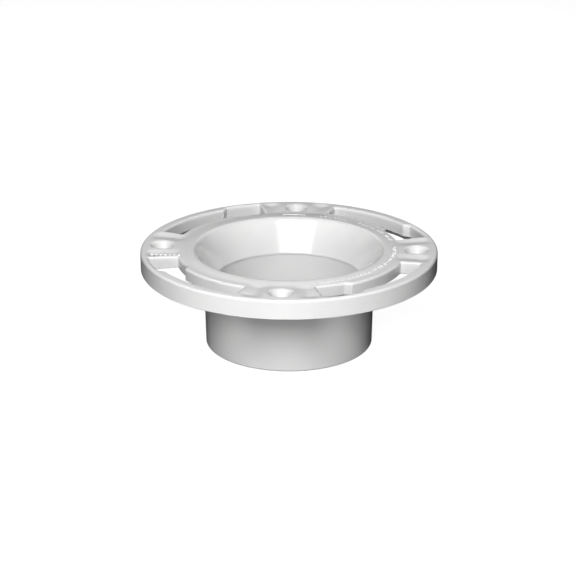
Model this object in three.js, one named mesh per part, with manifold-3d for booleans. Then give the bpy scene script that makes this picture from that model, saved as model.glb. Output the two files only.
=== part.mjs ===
// A PVC closet (toilet) flange for 3 in and 4 in drain pipe, in millimetres, with +Z up.
// It is two mouldings: the drain hub, and the fixing ring that swivels under the hub's lip.
// The origin is the centre of the spigot's bottom face, so the flange stands on z = 0.
// Angles are in degrees about +Z, counterclockwise from +X.

import * as THREE from 'three';
import { ConvexGeometry } from 'three/addons/geometries/ConvexGeometry.js';
import * as BufferGeometryUtils from 'three/addons/utils/BufferGeometryUtils.js';
import Module from 'manifold-3d';

const wasm = await Module();
wasm.setup();

// ---- driving dimensions -------------------------------------------------

const RING_TOP_Z = 59.7;          // top face of the fixing ring above the spigot's bottom
const RING_RADIUS = 88.9;         // 7 in flange
const RING_HEIGHT = 11.6;         // top face down to the foot rim
const PLATE_THICKNESS = 7.8;      // the plate inside the foot rim
const FOOT_INNER_RADIUS = 86.3;
const EDGE_RADIUS = 1.5;          // rounded top edge of the ring
const EDGE_CHAMFER = 0.4;         // small break on the ring's other edges

const CROWN_RADIUS = 58.3;        // the lip is highest here
const CROWN_DEPTH = 0.15;         // below the ring's top face
const MOUTH_ROUNDING = 3.2;       // from the crown down into the funnel
const LIP_RADIUS = 61.6;          // outer edge of the hub's lip
const LIP_EDGE_DEPTH = 0.35;      // below the ring's top face
const LIP_UNDER_DEPTH = 4.0;      // underside of the lip, below the ring's top face
const NECK_RADIUS = 57.4;         // the ring turns on this
const THROAT_RADIUS = 44.4;
const THROAT_DEPTH = 19.5;        // below the ring's top face
const THROAT_LAND = 1.2;          // short straight stretch, then the stop for the pipe's end
const SOCKET_TOP_RADIUS = 44.8;   // 3 in pipe is 44.45 in radius
const SOCKET_MOUTH_RADIUS = 45.0;
const SPIGOT_TOP_RADIUS = 51.1;   // 4 in pipe is 51.1 inside
const SPIGOT_END_RADIUS = 50.5;
const SPIGOT_END_CHAMFER = 0.6;

const RUNNING_GAP = 0.4;          // between the hub and the swivel ring, all round
const LEVEL_RADIUS = 80.0;        // the ring's top face is level from here out, and dishes inside it
const DISH_RADIUS = 66.0;         // where that dish is deepest
const DISH_DEPTH = 0.7;

const BOLT_SLOT_COUNT = 4;
const FIRST_HOLE_ANGLE = -3.5;    // the pattern repeats every quarter turn from here
const SLOT_START = 16.3;          // slot's wide end, measured on from the screw hole
const SLOT_WIDE_END = 31.4;       // the wide part's walls end here
const SLOT_NARROW_START = 34.0;   // and slope in to the narrow part's walls here
const SLOT_END = 72.7;
const SLOT_NARROW = [70.1, 82.3]; // inner and outer radius of the part that grips the bolt
const SLOT_WIDE = [67.3, 85.4];   // inner and outer radius of the part that takes the bolt's head

const HOLE_CIRCLE_RADIUS = 76.2;  // the 6 in circle
const SCREW_HOLE_RADIUS = 3.3;
const SINK_RADIUS = 6.8;          // countersink at the top face
const SINK_DEPTH = 4.5;
const BOSS_RADIUS = 7.7;
const WEB_THICKNESS = 3.0;
const WEB_SPAN = [62.0, 86.7];    // radii that the stiffening web under a bridge reaches between
const WEB_HEIGHT = 1.6;           // below the plate

const POCKET_OFFSET = 10.7;       // degrees from a screw hole to the shallow pocket beside it
const POCKET_SPAN = [69.0, 86.0]; // radii where the pocket starts and ends at the top face
const POCKET_LOWEST = [77.5, 79.5];
const POCKET_WIDTH = 11;
const POCKET_DEPTH = 0.7;

const LUG_COUNT = 6;
const LUG_ANGLE = 9;              // degrees of arc that one snap lug covers
const LUG_REACH = 1.6;            // how far a lug stands out of the neck
const LUG_HEIGHT = 3.2;
const LUG_EDGE = 0.8;             // upright face at a lug's tip

const RING_SEGMENTS = 96;
const HUB_SEGMENTS = 72;
const SLOT_SEGMENTS = 12;         // along each curved wall of a slot
const OVERCUT = 1;                // cutters run this far past the face that they cut

const plateBottomZ = RING_TOP_Z - PLATE_THICKNESS;
const footZ = RING_TOP_Z - RING_HEIGHT;
const radians = THREE.MathUtils.degToRad;

// ---- solids -------------------------------------------------------------

/** A manifold-3d solid with the shape of a closed three.js geometry. */
function toSolid(geometry) {
  geometry.deleteAttribute('normal');
  geometry.deleteAttribute('uv');
  const merged = BufferGeometryUtils.mergeVertices(geometry, 1e-4);
  const mesh = new wasm.Mesh({
    numProp: 3,
    vertProperties: new Float32Array(merged.attributes.position.array),
    triVerts: new Uint32Array(merged.index.array),
  });
  return new wasm.Manifold(mesh);
}

/** The three.js geometry of a manifold-3d solid. */
function toGeometry(solid) {
  const mesh = solid.getMesh();
  const geometry = new THREE.BufferGeometry();
  geometry.setAttribute('position', new THREE.BufferAttribute(mesh.vertProperties, 3));
  geometry.setIndex(new THREE.BufferAttribute(mesh.triVerts, 1));
  geometry.computeVertexNormals();
  return geometry;
}

/** A closed outline of [radius, z] points turned about Z, with its faces pointing out. */
function revolve(outline, segments) {
  const points = [...outline, outline[0]].map(([r, z]) => new THREE.Vector2(r, z));
  const geometry = new THREE.LatheGeometry(points, segments);
  geometry.rotateX(Math.PI / 2);
  const solid = toSolid(geometry);
  return solid.volume() > 0 ? solid : toSolid(flipped(geometry));
}

/** The same faces, turned inside out. */
function flipped(geometry) {
  const index = geometry.index.array;
  for (let i = 0; i < index.length; i += 3) {
    [index[i], index[i + 1]] = [index[i + 1], index[i]];
  }
  return geometry;
}

/** Points [radius, z] on an arc about a centre, end points included. */
function arc(centre, radius, fromAngle, toAngle, steps) {
  const points = [];
  for (let i = 0; i <= steps; i += 1) {
    const a = radians(fromAngle + ((toAngle - fromAngle) * i) / steps);
    points.push([centre[0] + radius * Math.cos(a), centre[1] + radius * Math.sin(a)]);
  }
  return points;
}

/** A three.js geometry moved to a radius along +X, turned to an angle about Z, as a solid. */
function placeAround(geometry, radius, angle) {
  geometry.translate(radius, 0, 0);
  geometry.rotateZ(radians(angle));
  return toSolid(geometry);
}

// ---- drain hub ----------------------------------------------------------

/** The hub's turned body: lip, funnel, throat, socket inside, and spigot and neck outside. */
function hubBody() {
  const lipUnderZ = RING_TOP_Z - LIP_UNDER_DEPTH;
  const throatZ = RING_TOP_Z - THROAT_DEPTH;
  const coneTopZ = footZ - LUG_HEIGHT;
  const coneDrop = NECK_RADIUS - SPIGOT_TOP_RADIUS;
  const roundingCentre = [CROWN_RADIUS, RING_TOP_Z - CROWN_DEPTH - MOUTH_ROUNDING];
  return revolve([
    [SPIGOT_END_RADIUS - SPIGOT_END_CHAMFER, 0],
    [SPIGOT_END_RADIUS, SPIGOT_END_CHAMFER],
    [SPIGOT_TOP_RADIUS, coneTopZ - 2 * coneDrop],
    [NECK_RADIUS, coneTopZ],
    [NECK_RADIUS, lipUnderZ],
    [LIP_RADIUS, lipUnderZ],
    [LIP_RADIUS, RING_TOP_Z - LIP_EDGE_DEPTH - EDGE_CHAMFER],
    [LIP_RADIUS - EDGE_CHAMFER, RING_TOP_Z - LIP_EDGE_DEPTH],
    ...arc(roundingCentre, MOUTH_ROUNDING, 90, 149, 4),
    [THROAT_RADIUS, throatZ],
    [THROAT_RADIUS, throatZ - THROAT_LAND],
    [SOCKET_TOP_RADIUS, throatZ - THROAT_LAND - (SOCKET_TOP_RADIUS - THROAT_RADIUS) / 3],
    [SOCKET_MOUTH_RADIUS, SPIGOT_END_CHAMFER],
    [SOCKET_MOUTH_RADIUS + SPIGOT_END_CHAMFER, 0],
  ], HUB_SEGMENTS);
}

/** One snap lug: a wedge under the ring, sloped below so that the ring springs over it. */
function snapLug(angle) {
  const topZ = plateBottomZ - RUNNING_GAP;
  const wedge = new THREE.Shape();
  wedge.moveTo(NECK_RADIUS - 1, topZ);
  wedge.lineTo(NECK_RADIUS + LUG_REACH, topZ);
  wedge.lineTo(NECK_RADIUS + LUG_REACH, topZ - LUG_EDGE);
  wedge.lineTo(NECK_RADIUS - 1, topZ - LUG_HEIGHT);
  wedge.closePath();
  const width = 2 * NECK_RADIUS * Math.sin(radians(LUG_ANGLE / 2));
  const geometry = new THREE.ExtrudeGeometry(wedge, { depth: width, bevelEnabled: false });
  geometry.translate(0, 0, -width / 2);
  geometry.rotateX(Math.PI / 2);
  return placeAround(geometry, 0, angle);
}

function hub() {
  let solid = hubBody();
  for (let i = 0; i < LUG_COUNT; i += 1) {
    solid = solid.add(snapLug((i + 0.5) * (360 / LUG_COUNT)));
  }
  return solid;
}

// ---- swivel fixing ring -------------------------------------------------

/** The ring's turned body: plate, foot rim, and the stepped bore round the hub's lip and neck. */
function ringBody() {
  const bore = NECK_RADIUS + RUNNING_GAP;
  const recess = LIP_RADIUS + RUNNING_GAP;
  const recessZ = RING_TOP_Z - LIP_UNDER_DEPTH - RUNNING_GAP;
  const edgeCentre = [RING_RADIUS - EDGE_RADIUS, RING_TOP_Z - EDGE_RADIUS];
  return revolve([
    [bore, plateBottomZ],
    [FOOT_INNER_RADIUS - EDGE_CHAMFER, plateBottomZ],
    [FOOT_INNER_RADIUS, plateBottomZ - EDGE_CHAMFER],
    [FOOT_INNER_RADIUS, footZ],
    [RING_RADIUS - EDGE_CHAMFER, footZ],
    [RING_RADIUS, footZ + EDGE_CHAMFER],
    ...arc(edgeCentre, EDGE_RADIUS, 0, 90, 4),
    [LEVEL_RADIUS, RING_TOP_Z],
    [DISH_RADIUS, RING_TOP_Z - DISH_DEPTH],
    [recess + EDGE_CHAMFER, RING_TOP_Z - LIP_EDGE_DEPTH],
    [recess, RING_TOP_Z - LIP_EDGE_DEPTH - EDGE_CHAMFER],
    [recess, recessZ],
    [bore, recessZ],
  ], RING_SEGMENTS);
}

/** The cutter for one keyhole slot: a wide entry for the bolt's head, then the narrow run. */
function boltSlot(holeAngle) {
  const start = radians(holeAngle + SLOT_START);
  const wideEnd = radians(holeAngle + SLOT_WIDE_END);
  const narrowStart = radians(holeAngle + SLOT_NARROW_START);
  const end = radians(holeAngle + SLOT_END);
  const [narrowInner, narrowOuter] = SLOT_NARROW;
  const [wideInner, wideOuter] = SLOT_WIDE;
  const shape = new THREE.Shape();
  shape.absarc(0, 0, wideOuter, start, wideEnd, false);
  shape.absarc(0, 0, narrowOuter, narrowStart, end, false);
  shape.absarc(0, 0, narrowInner, end, narrowStart, true);
  shape.absarc(0, 0, wideInner, wideEnd, start, true);
  const lowZ = footZ - OVERCUT;
  const highZ = RING_TOP_Z + OVERCUT;
  const geometry = new THREE.ExtrudeGeometry(shape, {
    depth: highZ - lowZ, bevelEnabled: false, curveSegments: SLOT_SEGMENTS,
  });
  geometry.translate(0, 0, lowZ);
  return toSolid(geometry);
}

/** The cutter for one screw hole with its countersink. */
function screwHole(holeAngle) {
  const highZ = RING_TOP_Z + OVERCUT;
  const sinkSlope = (SINK_RADIUS - SCREW_HOLE_RADIUS) / SINK_DEPTH;
  const outline = [
    new THREE.Vector2(0, footZ - OVERCUT),
    new THREE.Vector2(SCREW_HOLE_RADIUS, footZ - OVERCUT),
    new THREE.Vector2(SCREW_HOLE_RADIUS, RING_TOP_Z - SINK_DEPTH),
    new THREE.Vector2(SINK_RADIUS + sinkSlope * OVERCUT, highZ),
    new THREE.Vector2(0, highZ),
  ];
  const geometry = new THREE.LatheGeometry(outline, 24);
  geometry.rotateX(Math.PI / 2);
  return placeAround(geometry, HOLE_CIRCLE_RADIUS, holeAngle);
}

/** The boss under a screw hole, which reaches down to the floor. */
function screwBoss(holeAngle) {
  const height = plateBottomZ + OVERCUT - footZ;
  const geometry = new THREE.CylinderGeometry(BOSS_RADIUS, BOSS_RADIUS, height, 32);
  geometry.rotateX(Math.PI / 2);
  geometry.translate(0, 0, footZ + height / 2);
  return placeAround(geometry, HOLE_CIRCLE_RADIUS, holeAngle);
}

/** The stiffening web under a bridge, from the bore's side out to the foot rim. */
function bridgeWeb(holeAngle) {
  const [inner, outer] = WEB_SPAN;
  const height = WEB_HEIGHT + OVERCUT;
  const geometry = new THREE.BoxGeometry(outer - inner, WEB_THICKNESS, height);
  geometry.translate(0, 0, plateBottomZ + OVERCUT - height / 2);
  return placeAround(geometry, (inner + outer) / 2, holeAngle);
}

/** The cutter for the shallow pocket on one side of a screw hole, +1 or -1. */
function pocket(holeAngle, side) {
  const spread = 1 + OVERCUT / POCKET_DEPTH;
  const halfWidth = spread * (POCKET_WIDTH / 2);
  const [innerLow, outerLow] = POCKET_LOWEST;
  const innerHigh = innerLow - spread * (innerLow - POCKET_SPAN[0]);
  const outerHigh = outerLow + spread * (POCKET_SPAN[1] - outerLow);
  const lowZ = RING_TOP_Z - POCKET_DEPTH;
  const highZ = RING_TOP_Z + OVERCUT;
  const corners = [[innerLow, 0, lowZ], [outerLow, 0, lowZ]];
  for (const y of [-halfWidth, halfWidth]) {
    corners.push([innerHigh, y, highZ], [outerHigh, y, highZ]);
  }
  const geometry = new ConvexGeometry(corners.map((corner) => new THREE.Vector3(...corner)));
  return placeAround(geometry, 0, holeAngle + side * POCKET_OFFSET);
}

function boltRing() {
  let solid = ringBody();
  for (let i = 0; i < BOLT_SLOT_COUNT; i += 1) {
    const holeAngle = FIRST_HOLE_ANGLE + i * (360 / BOLT_SLOT_COUNT);
    solid = solid
      .add(screwBoss(holeAngle))
      .add(bridgeWeb(holeAngle))
      .subtract(boltSlot(holeAngle))
      .subtract(screwHole(holeAngle))
      .subtract(pocket(holeAngle, -1))
      .subtract(pocket(holeAngle, 1));
  }
  return solid;
}

// ---- assembly -----------------------------------------------------------

const glossyPvc = new THREE.MeshStandardMaterial({ color: 0xe6e6e4, roughness: 0.22, metalness: 0 });
const satinPvc = new THREE.MeshStandardMaterial({ color: 0xe3e3e1, roughness: 0.38, metalness: 0 });

function part(name, solid, material) {
  const mesh = new THREE.Mesh(toGeometry(solid), material);
  mesh.name = name;
  return mesh;
}

const flange = new THREE.Group();
flange.name = 'closet_flange';
flange.add(part('hub', hub(), glossyPvc));
flange.add(part('bolt_ring', boltRing(), satinPvc));

export default flange;
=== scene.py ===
import itertools
import math
import random

import bpy
import numpy as np
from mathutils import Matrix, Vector


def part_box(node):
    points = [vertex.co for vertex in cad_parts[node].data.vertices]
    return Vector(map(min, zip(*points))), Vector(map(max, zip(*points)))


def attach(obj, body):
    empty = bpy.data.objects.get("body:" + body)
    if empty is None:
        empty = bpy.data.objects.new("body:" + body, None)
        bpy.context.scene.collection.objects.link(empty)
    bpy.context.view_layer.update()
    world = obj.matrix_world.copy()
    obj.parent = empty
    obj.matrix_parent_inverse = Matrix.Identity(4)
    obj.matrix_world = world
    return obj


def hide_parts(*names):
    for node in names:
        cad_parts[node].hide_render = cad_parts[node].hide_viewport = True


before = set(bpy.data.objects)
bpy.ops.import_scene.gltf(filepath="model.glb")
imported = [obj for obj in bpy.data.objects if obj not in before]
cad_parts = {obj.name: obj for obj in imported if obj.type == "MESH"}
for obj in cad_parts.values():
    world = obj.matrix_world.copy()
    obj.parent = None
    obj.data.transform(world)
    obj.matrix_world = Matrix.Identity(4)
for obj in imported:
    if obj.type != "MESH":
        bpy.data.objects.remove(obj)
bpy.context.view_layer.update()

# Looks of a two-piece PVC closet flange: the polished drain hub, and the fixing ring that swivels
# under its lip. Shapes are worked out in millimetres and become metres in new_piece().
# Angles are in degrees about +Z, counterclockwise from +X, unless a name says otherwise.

scene = bpy.context.scene

MM = 0.001

# ---- sizes, from the frame and a few driving dimensions --------------------

ring_low, ring_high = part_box("bolt_ring")
hub_low, hub_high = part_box("hub")

TOP = ring_high.z / MM            # the ring's top face
FOOT = ring_low.z / MM            # the foot rim that stands on the floor
RIM = ring_high.x / MM            # the ring's outer radius
LIP = hub_high.x / MM             # outer radius of the hub's lip

RUNNING_GAP = 0.4                 # between the hub and the ring
LIP_GAP = 0.03                    # the fine gap that shows between the lip and the ring
PLATE_BOTTOM = TOP - 8.0          # underside of the ring's plate
FOOT_INNER = RIM - 2.6            # inner radius of the foot rim
NECK = LIP - 4.2                  # radius of the hub's neck, which the ring turns on
LIP_UNDER = TOP - 4.0             # underside of the hub's lip
CREST = 58.3                      # radius where the lip is highest
CREST_DEPTH = 0.1                 # all depths are below the ring's top face
DISH = 66.0                       # radius where the dish round the lip is deepest
DISH_DEPTH = 0.6
LEVEL = 80.0                      # the ring's top face is level from here out

HOLES = 4
QUARTER = 360 / HOLES
FIRST_HOLE = -3.5                 # angle of the screw hole next to +X
HOLE_CIRCLE = 76.2
SCREW_RADIUS = 3.3
SINK_RADIUS = 6.8                 # countersink at the top face
SINK_DEPTH = 4.5
BOSS_RADIUS = 7.7
WEB_HALF_WIDTH = 1.5
WEB_DEPTH = 1.6

POCKET_OFFSET = 11.3              # degrees from a screw hole to the pocket on each side of it
POCKET_HALF_WIDTH = 7.4
POCKET_SPAN = (63.5, 86.7)        # radii where a pocket starts and ends
POCKET_BEND = 69.5                # its floor falls more gently from here to its lowest radius
POCKET_NEAR_SHARE = 0.55          # how much of its depth is reached at the bend
POCKET_LOWEST = 81.2
POCKET_DEPTH = 1.0

SLOT_START = 16.3                 # measured on from a screw hole
SLOT_WIDE_END = 31.4              # the wide part's walls end here
SLOT_NARROW_START = 34.0          # and slope in to the narrow part's walls here
SLOT_END = 72.7
SLOT_WIDE = (67.3, 85.4)          # inner and outer radius of each part
SLOT_NARROW = (70.1, 82.3)

FUNNEL_SLOPE = 0.608              # the funnel's radius falls this much per millimetre down
THROAT = 44.4
THROAT_Z = TOP - 19.5
SOCKET = (44.8, 45.0)             # the pipe socket's radius at its stop and at its mouth
SPIGOT = (51.1, 50.5)             # the spigot's radius at its top and at its end

LUGS = 6                          # snap lugs on the neck, which hold the ring up under the lip
LUG_TOP = PLATE_BOTTOM - RUNNING_GAP
LUG_HEIGHT = 3.2
LUG_EDGE = 0.8                    # the upright part of a lug, over its ramp
LUG_REACH = 1.6
LUG_HALF_ANGLE = 4.5
LUG_SIDE = 0.35                   # degrees over which a lug's side falls to the neck

EDGE_RIM = 1.5                    # roundings of the ring's edges
EDGE_SLOT = 1.4
EDGE_SINK = 1.0
EDGE_SEAM = 0.05                  # sharp beside the lip, so that the seam hardly shows
EDGE_FOOT = 0.5
EDGE_UNDER = 0.4
WALL_CORNER = 0.9                 # fillet between the plate's underside and the foot rim
SLOT_CORNER = 1.0                 # fillets in the slots' plan, at the ends and at the step
STEP_CORNER = 0.4
BOSS_FILLET = 0.8
WEB_FILLET = 0.5
EDGE_BORE = 0.3                   # under the plate, where the ring turns on the neck
BLEND_DEPTH = 2                   # how far the bosses and webs run on up into the plate

GRID = 0.5                        # cell of the grid that the ring's surface is found on

MARK_CIRCLE = 63.2                # the raised marks stand round the lip on this radius
MARK_ARCS = ((13, 44), (55.5, 70), (283, 300), (303, 341), (350, 365))
MARK_GAP = 2.0                    # degrees between one group of marks and the next
MARK_WIDTH = 0.9
MARK_HEIGHT = 0.33
LONG_MARK = (62.8, 87, 1.5, 14.5)  # its radius, angle, length and width
SIDE_MARKS = 7                    # the row that stands beside the screw hole next to -X
SIDE_MARK_ANGLE = FIRST_HOLE + 180
SIDE_MARK_OFFSET = 16.4           # from the screw hole's radius to the row
SIDE_MARK_START = 66.5
SIDE_MARK_STEP = 2.6
SIDE_MARK_WIDTH = 1.3
SIDE_MARK_HEIGHT = 0.65

PVC_DARK = (0.780, 0.782, 0.780)  # the two ends of the plastic's faint mottling
PVC_LIGHT = (0.815, 0.815, 0.810)


# ---- mesh tools ------------------------------------------------------------

def smoothstep(low, high, value):
    """0 at low, 1 at high and smooth between them; low may be the larger one."""
    t = np.clip((value - low) / (high - low), 0, 1)
    return t * t * (3 - 2 * t)


def round_cut(a, b, radius):
    """The field of what is inside both a and b, with the edge between them rounded."""
    past_a = np.maximum(radius + a, 0)
    past_b = np.maximum(radius + b, 0)
    return np.minimum(-radius, np.maximum(a, b)) + np.hypot(past_a, past_b)


def round_join(a, b, radius):
    """The field of what is inside a or b, with the inner corner between them filled."""
    return -round_cut(-a, -b, radius)


def slopes(field, points, step=0.01):
    """The field's gradient at the points, by central differences."""
    columns = []
    for axis in range(3):
        offset = np.zeros(3)
        offset[axis] = step
        ahead = field(*(points + offset).T)
        behind = field(*(points - offset).T)
        columns.append((ahead - behind) / (2 * step))
    return np.stack(columns, -1)


def pull_onto(field, points, rounds=5, longest_step=0.4):
    """Moves points onto the surface where the field is zero."""
    for _ in range(rounds):
        slope = slopes(field, points)
        steep = np.maximum((slope ** 2).sum(-1), 0.05)
        step = (field(*points.T) / steep)[:, None] * slope
        length = np.linalg.norm(step, axis=1, keepdims=True)
        points = points - step * np.minimum(1, longest_step / np.maximum(length, 1e-9))
    return points


def polar_surface(field, radii, angles, heights):
    """Points and quads of the closed surface where the field is zero, on a grid round +Z."""
    around = np.append(angles, angles[0] + 2 * np.pi)
    r, a, z = np.meshgrid(radii, around, heights, indexing="ij")
    corners = np.stack([r * np.cos(a), r * np.sin(a), z], -1)
    value = field(*np.moveaxis(corners, -1, 0))
    cells = tuple(n - 1 for n in value.shape)
    total = np.zeros(cells + (3,))
    hits = np.zeros(cells)
    edges = []
    for axis in range(3):
        low = tuple(slice(None, -1) if n == axis else slice(None) for n in range(3))
        high = tuple(slice(1, None) if n == axis else slice(None) for n in range(3))
        start, end = value[low], value[high]
        crossed = (start < 0) != (end < 0)
        share = np.where(crossed, start / np.where(crossed, start - end, 1), 0)[..., None]
        crossing = (corners[low] + share * (corners[high] - corners[low])) * crossed[..., None]
        for shift in itertools.product((0, 1), repeat=2):
            moves = list(shift)
            moves.insert(axis, 0)
            pick = tuple(slice(move, move + count) for move, count in zip(moves, cells))
            total += crossing[pick]
            hits += crossed[pick]
        edges.append((crossed, start < 0))
    used = hits > 0
    number = np.full(cells, -1)
    number[used] = np.arange(used.sum())
    quads = []
    for axis, (crossed, starts_inside) in enumerate(edges):
        side, other = (axis + 1) % 3, (axis + 2) % 3
        where = np.argwhere(crossed)
        if axis != 1:
            where = where[where[:, 1] < len(angles)]
        loop = []
        for move_side, move_other in ((-1, -1), (0, -1), (0, 0), (-1, 0)):
            cell = where.copy()
            cell[:, side] += move_side
            cell[:, other] += move_other
            cell[:, 1] %= len(angles)
            loop.append(number[tuple(cell.T)])
        loop = np.stack(loop, -1)
        faces_out = starts_inside[tuple(where.T)]
        quads.append(np.where(faces_out[:, None], loop, loop[:, ::-1]))
    return total[used] / hits[used][:, None], np.concatenate(quads)


def rounded_outline(corners, arc_step=9):
    """Points and outward normals of a closed outline of (radius, z, fillet) corners.

    The corners run counterclockwise, seen with the radius to the right and z up.
    """
    points, normals = [], []
    flat = [np.array(corner[:2]) for corner in corners]
    for i, (_, _, fillet) in enumerate(corners):
        corner = flat[i]
        arriving = corner - flat[i - 1]
        leaving = flat[(i + 1) % len(flat)] - corner
        arriving /= np.linalg.norm(arriving)
        leaving /= np.linalg.norm(leaving)
        heading = math.atan2(arriving[1], arriving[0])
        turn = math.atan2(arriving[0] * leaving[1] - arriving[1] * leaving[0], arriving @ leaving)
        reach = fillet * abs(math.tan(turn / 2))
        side = math.copysign(1, turn)
        start = corner - arriving * reach
        centre = start + side * fillet * np.array([-arriving[1], arriving[0]])
        steps = max(1, math.ceil(abs(math.degrees(turn)) / arc_step))
        for n in range(steps + 1):
            angle = heading + turn * n / steps
            out = np.array([math.sin(angle), -math.cos(angle)])
            points.append(centre + side * fillet * out)
            normals.append(out)
    return np.array(points), np.array(normals)


def new_piece(name, points, quads, normals, body, node):
    """A smooth mesh piece that rides on a body; points are in millimetres."""
    mesh = bpy.data.meshes.new(name)
    mesh.from_pydata((points * MM).tolist(), [], quads.tolist())
    mesh.polygons.foreach_set("use_smooth", [True] * len(mesh.polygons))
    if normals is not None:
        mesh.normals_split_custom_set_from_vertices(normals.tolist())
    piece = bpy.data.objects.new(name, mesh)
    scene.collection.objects.link(piece)
    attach(piece, body)
    if node:
        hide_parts(node)
    return piece


# ---- materials -------------------------------------------------------------

def pvc_material(name, roughness, grain, waviness, tone=1.0):
    """White moulded PVC: faint mottling, soft sink waviness, fine grain and faint flow lines."""
    material = bpy.data.materials.new(name)
    material.use_nodes = True
    nodes, links = material.node_tree.nodes, material.node_tree.links
    shader = nodes["Principled BSDF"]
    shader.inputs["IOR"].default_value = 1.52
    place = nodes.new("ShaderNodeTexCoord")

    def noise(scale, detail, stretch=(1, 1, 1)):
        mapping = nodes.new("ShaderNodeMapping")
        mapping.inputs["Scale"].default_value = stretch
        links.new(place.outputs["Object"], mapping.inputs["Vector"])
        texture = nodes.new("ShaderNodeTexNoise")
        texture.inputs["Scale"].default_value = scale
        texture.inputs["Detail"].default_value = detail
        links.new(mapping.outputs["Vector"], texture.inputs["Vector"])
        return texture.outputs["Fac"]

    def ramp(source, low, high, low_value, high_value):
        span = nodes.new("ShaderNodeMapRange")
        span.inputs["From Min"].default_value = low
        span.inputs["From Max"].default_value = high
        span.inputs["To Min"].default_value = low_value
        span.inputs["To Max"].default_value = high_value
        links.new(source, span.inputs["Value"])
        return span.outputs["Result"]

    mottle = nodes.new("ShaderNodeMix")
    mottle.data_type = "RGBA"
    mottle.inputs["A"].default_value = [channel * tone for channel in PVC_DARK] + [1]
    mottle.inputs["B"].default_value = [channel * tone for channel in PVC_LIGHT] + [1]
    links.new(ramp(noise(45, 4), 0.35, 0.65, 0, 1), mottle.inputs["Factor"])
    links.new(mottle.outputs["Result"], shader.inputs["Base Color"])

    uneven = ramp(noise(60, 3), 0.3, 0.7, roughness * 0.94, roughness * 1.08)
    links.new(uneven, shader.inputs["Roughness"])

    chain = None
    for source, strength, distance in (
        (noise(38, 1), waviness, 0.0004),
        (noise(1500, 3), grain, 0.00002),
        (noise(160, 2, (1, 1, 12)), grain, 0.00003),
    ):
        bump = nodes.new("ShaderNodeBump")
        bump.inputs["Strength"].default_value = strength
        bump.inputs["Distance"].default_value = distance
        links.new(source, bump.inputs["Height"])
        if chain:
            links.new(chain, bump.inputs["Normal"])
        chain = bump.outputs["Normal"]
    links.new(chain, shader.inputs["Normal"])
    return material


polished = pvc_material("pvc_polished", roughness=0.14, grain=0.05, waviness=0.10)
satin = pvc_material("pvc_satin", roughness=0.30, grain=0.12, waviness=0.16)
# the raised marks' copy of the plastic is 4% lighter in tone: a painted highlight on the marks
marks_painted_highlight = pvc_material("pvc_marks_painted_highlight", roughness=0.26, grain=0.12, waviness=0.05, tone=1.04)


# ---- the dished top face, which both pieces share --------------------------

def dished_height(r):
    """Height of the flange's upper side, from the lip's crest out over the ring."""
    fall = smoothstep(CREST, DISH, r)
    rise = smoothstep(DISH, LEVEL, r)
    return TOP - CREST_DEPTH - (DISH_DEPTH - CREST_DEPTH) * fall + DISH_DEPTH * rise


# ---- drain hub -------------------------------------------------------------

def hub_corners():
    """The hub's outline as (radius, z, fillet), counterclockwise from the spigot's end."""
    cone_top = FOOT - LUG_HEIGHT
    cone_foot = cone_top - 2 * (NECK - SPIGOT[0])
    mouth_z = TOP - CREST_DEPTH - 0.02
    slope_start = CREST + 1.2
    land_end = THROAT_Z - 1.2
    return [
        (SPIGOT[1], 0, 1.2),
        (SPIGOT[0], cone_foot, 4.0),
        (NECK, cone_top, 1.5),
        (NECK, LIP_UNDER, 0.4),
        (LIP, LIP_UNDER, 0.3),
        (LIP, dished_height(LIP), 0.05),
        (slope_start, dished_height(slope_start), 6.0),
        (THROAT + FUNNEL_SLOPE * (mouth_z - THROAT_Z), mouth_z, 3.2),
        (THROAT, THROAT_Z, 0.5),
        (THROAT, land_end, 0.25),
        (SOCKET[0], land_end - 0.2, 0.25),
        (SOCKET[1], 0, 0.6),
    ]


def lug_bulge(z, angle):
    """How far the snap lugs stand out of the neck at a height and an angle in radians."""
    spacing = 2 * np.pi / LUGS
    off = np.degrees(np.abs(angle % spacing - spacing / 2))
    side = 1 - smoothstep(LUG_HALF_ANGLE - LUG_SIDE, LUG_HALF_ANGLE, off)
    shelf = 1 - smoothstep(LUG_TOP - 0.2, LUG_TOP, z)
    ramp = np.clip((z - LUG_TOP + LUG_HEIGHT) / (LUG_HEIGHT - LUG_EDGE), 0, 1)
    return LUG_REACH * side * shelf * ramp


def hub_angles():
    """Steps round the hub, in radians, with extra ones at the sides of the lugs."""
    steps = list(np.arange(0, 360, 1.25))
    for lug in range(LUGS):
        middle = (lug + 0.5) * 360 / LUGS
        for inset in (0, 0.12, 0.23, LUG_SIDE):
            edge = LUG_HALF_ANGLE - inset
            steps += [middle - edge, middle + edge]
    return np.radians(np.unique(np.round(steps, 3)))


def split_long_spans(points, normals, low, high, longest):
    """The same outline, with extra points on the neck where it runs straight up past two heights."""
    new_points, new_normals = [], []
    for i, point in enumerate(points):
        following = points[(i + 1) % len(points)]
        new_points.append(point)
        new_normals.append(normals[i])
        upright = abs(point[0] - following[0]) < 1e-6 and point[0] > NECK - 0.1
        if upright and min(point[1], following[1]) < low and max(point[1], following[1]) > high:
            count = math.ceil(abs(following[1] - point[1]) / longest)
            for n in range(1, count):
                new_points.append(point + (following - point) * n / count)
                new_normals.append(normals[i])
    return np.array(new_points), np.array(new_normals)


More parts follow.
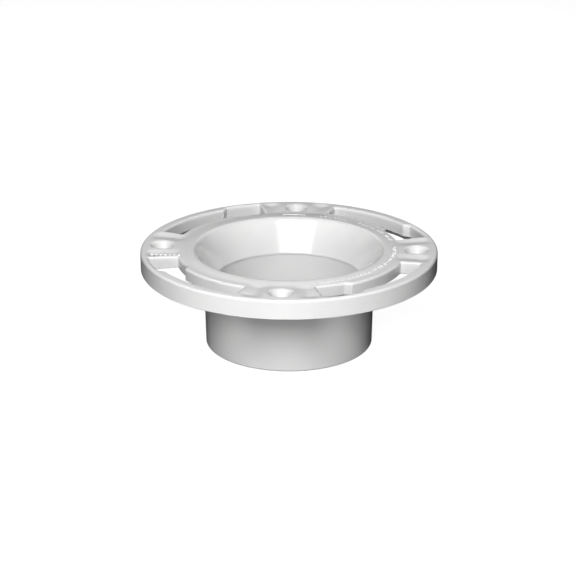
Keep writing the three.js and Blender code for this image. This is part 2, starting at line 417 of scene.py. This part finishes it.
def make_hub():
    """The drain hub: its outline turned about +Z, with the snap lugs pushed out of the neck."""
    outline, out = rounded_outline(hub_corners())
    outline, out = split_long_spans(outline, out, LUG_TOP - LUG_HEIGHT, LUG_TOP, 0.2)
    angles = hub_angles()
    radius, turn = np.meshgrid(outline[:, 0], angles, indexing="ij")
    height = np.repeat(outline[:, 1:], len(angles), axis=1)
    outside = np.abs(radius - NECK) < 0.01
    bulge = np.where(outside, lug_bulge(height, turn), 0)
    radius = radius + bulge
    points = np.stack([radius * np.cos(turn), radius * np.sin(turn), height], -1)
    upward = np.repeat(out[:, 1:], len(angles), axis=1)
    normals = np.stack([out[:, :1] * np.cos(turn), out[:, :1] * np.sin(turn), upward], -1)
    along = np.roll(points, -1, 0) - np.roll(points, 1, 0)
    across = np.roll(points, -1, 1) - np.roll(points, 1, 1)
    measured = np.cross(across, along)
    measured /= np.linalg.norm(measured, axis=-1, keepdims=True)
    near_lug = bulge > 0
    for axis, move in itertools.product((0, 1), (-1, 1)):
        near_lug = near_lug | (np.roll(bulge, move, axis) > 0)
    normals = np.where(near_lug[..., None], measured, normals)

    rows, columns = radius.shape
    number = np.arange(rows * columns).reshape(rows, columns)
    above = np.roll(number, -1, 0)
    quads = np.stack([number, np.roll(number, -1, 1), np.roll(above, -1, 1), above], -1)
    points, normals = points.reshape(-1, 3), normals.reshape(-1, 3)
    hub = new_piece("hub_moulding", points, quads.reshape(-1, 4), normals, "drain_hub", "hub")
    hub.data.materials.append(satin)
    hub.data.materials.append(polished)
    middle = (outline + np.roll(outline, -1, 0)) / 2
    in_funnel = (middle[:, 1] > THROAT_Z) & (out[:, 0] < -0.3)
    looks = np.repeat(in_funnel, columns).astype(int)
    hub.data.polygons.foreach_set("material_index", looks.tolist())


# ---- fixing ring -----------------------------------------------------------

def top_height(r, off):
    """Height of the ring's top face; off is the angle from the nearest screw hole."""
    arc = r * np.radians(np.abs(np.abs(off) - POCKET_OFFSET))
    pocket = smoothstep(POCKET_HALF_WIDTH, 0, arc)
    near = smoothstep(POCKET_SPAN[0], POCKET_BEND, r)
    far = smoothstep(POCKET_BEND, POCKET_LOWEST, r)
    floor = POCKET_NEAR_SHARE * near + (1 - POCKET_NEAR_SHARE) * far
    pocket = pocket * floor * smoothstep(POCKET_SPAN[1], POCKET_LOWEST, r)
    return dished_height(r) - POCKET_DEPTH * pocket


def slot_field(r, beyond):
    """Plan of a keyhole slot; beyond is the angle on from the last screw hole."""
    from_middle = np.abs(r - sum(SLOT_NARROW) / 2)
    narrow_half = (SLOT_NARROW[1] - SLOT_NARROW[0]) / 2
    wide_half = (SLOT_WIDE[1] - SLOT_WIDE[0]) / 2
    arc = np.radians(1) * r
    run = math.radians(SLOT_NARROW_START - SLOT_WIDE_END) * HOLE_CIRCLE
    slope = run / (wide_half - narrow_half)
    past_step = (beyond - SLOT_WIDE_END) * arc + slope * (from_middle - wide_half)
    wide = round_cut(from_middle - wide_half, (SLOT_START - beyond) * arc, SLOT_CORNER)
    wide = round_cut(wide, past_step / math.hypot(1, slope), STEP_CORNER)
    narrow = round_cut(from_middle - narrow_half, (beyond - SLOT_END) * arc, SLOT_CORNER)
    inside_wide = SLOT_START + 4
    narrow = np.maximum(narrow, (inside_wide - beyond) * arc)
    return round_join(wide, narrow, STEP_CORNER)


def ring_field(x, y, z):
    """Distance to the fixing ring's surface in millimetres, negative inside."""
    r = np.hypot(x, y)
    turn = np.degrees(np.arctan2(y, x)) - FIRST_HOLE
    beyond = turn % QUARTER
    off = (turn + QUARTER / 2) % QUARTER - QUARTER / 2
    across = r * np.sin(np.radians(off))
    outward = r * np.cos(np.radians(off)) - HOLE_CIRCLE
    from_hole = np.hypot(across, outward)
    upper = z > (TOP + PLATE_BOTTOM) / 2

    solid = round_cut(r - RIM, z - top_height(r, off), EDGE_RIM)
    solid = round_cut(solid, FOOT - z, EDGE_FOOT)
    hollow = round_cut(r - FOOT_INNER, z - PLATE_BOTTOM, WALL_CORNER)
    solid = round_cut(solid, -hollow, EDGE_UNDER)

    above = z - PLATE_BOTTOM - BLEND_DEPTH
    boss = round_cut(from_hole - BOSS_RADIUS, FOOT - z, EDGE_FOOT)
    solid = round_join(solid, np.maximum(boss, above), BOSS_FILLET)
    web = round_cut(np.abs(across) - WEB_HALF_WIDTH, PLATE_BOTTOM - WEB_DEPTH - z, EDGE_FOOT)
    past_ends = np.maximum(LIP + 2 - r, r - FOOT_INNER - 1)
    web = np.maximum(web, np.maximum(above, past_ends))
    solid = round_join(solid, web, WEB_FILLET)

    slot = slot_field(r, beyond)
    solid = round_cut(solid, -slot, np.where(upper, EDGE_SLOT, EDGE_UNDER))

    sink_slope = (SINK_RADIUS - SCREW_RADIUS) / SINK_DEPTH
    sink = (from_hole - SINK_RADIUS - (z - TOP) * sink_slope) / math.hypot(1, sink_slope)
    hole = np.minimum(from_hole - SCREW_RADIUS, sink)
    solid = round_cut(solid, -hole, np.where(upper, EDGE_SINK, EDGE_UNDER))

    recess = np.maximum(r - LIP - LIP_GAP, LIP_UNDER - RUNNING_GAP - z)
    bore = np.minimum(r - NECK - RUNNING_GAP, recess)
    return round_cut(solid, -bore, np.where(upper, EDGE_SEAM, EDGE_BORE))


def make_ring():
    """The fixing ring, with finer steps of the grid on both sides of the seam at the lip."""
    lip_wall = LIP + LIP_GAP
    fine = lip_wall + np.array([-0.2, -0.06, 0.06, 0.2])
    coarse = np.arange(NECK - 0.3, RIM + 0.8, GRID)
    radii = np.sort(np.append(coarse[np.abs(coarse - lip_wall) > 0.3], fine))
    heights = np.arange(FOOT - 0.75, TOP + 0.8, GRID)
    angles = np.radians(np.arange(0, 360, 0.5) + 0.1)
    points, quads = polar_surface(ring_field, radii, angles, heights)
    points = pull_onto(ring_field, points)
    normals = slopes(ring_field, points)
    normals /= np.linalg.norm(normals, axis=1, keepdims=True)
    ring = new_piece("fixing_ring_moulding", points, quads, normals,
                     "swivel_ring", "bolt_ring")
    ring.data.materials.append(satin)


def mark_rows():
    """Plain bars where a real flange has moulded words: (radius, angle, length, width, height, turned)."""
    chance = random.Random(4)
    rows = []
    for start, end in MARK_ARCS:
        angle = start
        while angle < end:
            for _ in range(chance.randint(3, 7)):
                radius = MARK_CIRCLE + chance.uniform(-0.3, 0.3)
                rows.append((radius, angle, chance.uniform(1.0, 2.2), MARK_WIDTH, MARK_HEIGHT, False))
                angle += chance.uniform(2.0, 3.1)
            angle += MARK_GAP
    rows.append((*LONG_MARK, MARK_HEIGHT, False))
    for n in range(SIDE_MARKS):
        radius = SIDE_MARK_START + SIDE_MARK_STEP * n
        angle = SIDE_MARK_ANGLE + math.degrees(SIDE_MARK_OFFSET / radius)
        rows.append((radius, angle, chance.uniform(1.5, 2.4), SIDE_MARK_WIDTH, SIDE_MARK_HEIGHT, True))
    return rows


def make_marks(sunk=0.2, bevel=0.15, longest_strip=1.2):
    """The raised bars, as small closed blocks that follow the ring's top face."""
    points, quads = [], []
    for radius, angle, length, width, height, turned in mark_rows():
        along, across = (width, length) if turned else (length, width)
        steps = max(1, math.ceil(across / longest_strip))
        lines = [n / steps - 0.5 for n in range(steps + 1)]
        first = len(points)
        for lift, inset in ((-sunk, 0), (height - bevel, 0), (height, bevel)):
            for line in lines:
                for side in (-0.5, 0.5):
                    r = radius + side * (along - 2 * inset)
                    turn = math.radians(angle) + line * (across - 2 * inset) / radius
                    off = (math.degrees(turn) - FIRST_HOLE + QUARTER / 2) % QUARTER - QUARTER / 2
                    height_here = top_height(r, off) + lift
                    points.append((r * math.cos(turn), r * math.sin(turn), height_here))
        row = 2 * len(lines)
        loop = [2 * n for n in range(len(lines))] + [2 * n + 1 for n in reversed(range(len(lines)))]
        for level in (0, 1):
            for a, b in zip(loop, loop[1:] + loop[:1]):
                low = first + level * row
                quads.append((low + b, low + a, low + a + row, low + b + row))
        for n in range(steps):
            low, high = first + 2 * n, first + 2 * row + 2 * n
            quads.append((low, low + 2, low + 3, low + 1))
            quads.append((high, high + 1, high + 3, high + 2))
    marks = new_piece("moulded_marks", np.array(points), np.array(quads), None,
                      "swivel_ring", None)
    marks.data.polygons.foreach_set("use_smooth", [False] * len(quads))
    # the lighter copy of the plastic paints a highlight onto the marks
    marks.data.materials.append(marks_painted_highlight)


make_hub()
make_ring()
make_marks()


# ---- camera, lights and floor ---------------------------------------------

def aim(thing, target):
    """Turns a light so that its -Z axis points at the target."""
    thing.rotation_euler = (target - thing.location).to_track_quat("-Z", "Y").to_euler()


def make_camera():
    """Looks along +Y and down onto the ring's top face, and frames the flange at mid height."""
    distance = 0.986
    elevation = math.radians(19.42)
    extra_pitch = math.radians(1.438)
    camera = bpy.data.objects.new("camera", bpy.data.cameras.new("camera"))
    camera.data.sensor_width = 36
    camera.data.lens = 102.8
    back, up = distance * math.cos(elevation), distance * math.sin(elevation)
    camera.location = (-0.0006, -back, TOP * MM + up)
    camera.rotation_euler = (math.pi / 2 - elevation - extra_pitch, 0, 0)
    scene.collection.objects.link(camera)
    scene.camera = camera


def softbox(name, location, target, width, height, power, diffuse=True, glossy=True):
    """An area light in metres and watts, which the camera doesn't see."""
    data = bpy.data.lights.new(name, "AREA")
    data.shape = "RECTANGLE"
    data.size, data.size_y = width, height
    data.energy = power
    light = bpy.data.objects.new(name, data)
    light.location = location
    scene.collection.objects.link(light)
    aim(light, Vector(target))
    light.visible_camera = False
    light.visible_diffuse = diffuse
    light.visible_glossy = glossy


def make_lights():
    """A narrow key over the camera, with a wider box that only the reflections see, and two fills."""
    softbox("key_softbox", location=(-0.09, -0.80, 0.71), target=(0, 0, 0.04),
            width=0.34, height=0.6, power=12.1, glossy=False)
    softbox("mirror_softbox", location=(-0.17, -0.80, 0.71), target=(0, 0, 0.04),
            width=0.78, height=0.6, power=10.5, diffuse=False)
    softbox("low_fill", location=(-0.08, -1.1, 0.12), target=(0, 0, 0.03),
            width=0.35, height=0.2, power=3.3)
    softbox("back_softbox", location=(0, 0.8, 0.7), target=(0, 0, 0.03),
            width=0.9, height=0.5, power=1.6)


def make_floor():
    """A bright floor that only the camera sees, so that it throws no light back onto the flange."""
    bpy.ops.mesh.primitive_plane_add(size=12, location=(0, 0, -0.0002))
    floor = bpy.context.object
    floor.name = "floor"
    material = bpy.data.materials.new("pale_floor")
    material.use_nodes = True
    shader = material.node_tree.nodes["Principled BSDF"]
    shader.inputs["Base Color"].default_value = (0.3, 0.3, 0.3, 1)
    shader.inputs["Roughness"].default_value = 0.9
    shader.inputs["Emission Color"].default_value = (1, 1, 1, 1)
    shader.inputs["Emission Strength"].default_value = 0.93
    floor.data.materials.append(material)
    floor.visible_glossy = False
    floor.visible_diffuse = False


def make_world():
    world = bpy.data.worlds.new("studio")
    scene.world = world
    world.use_nodes = True
    background = world.node_tree.nodes["Background"]
    background.inputs["Color"].default_value = (1, 1, 1, 1)
    background.inputs["Strength"].default_value = 0.01


make_camera()
make_floor()
make_world()
make_lights()
scene.view_settings.view_transform = "Standard"
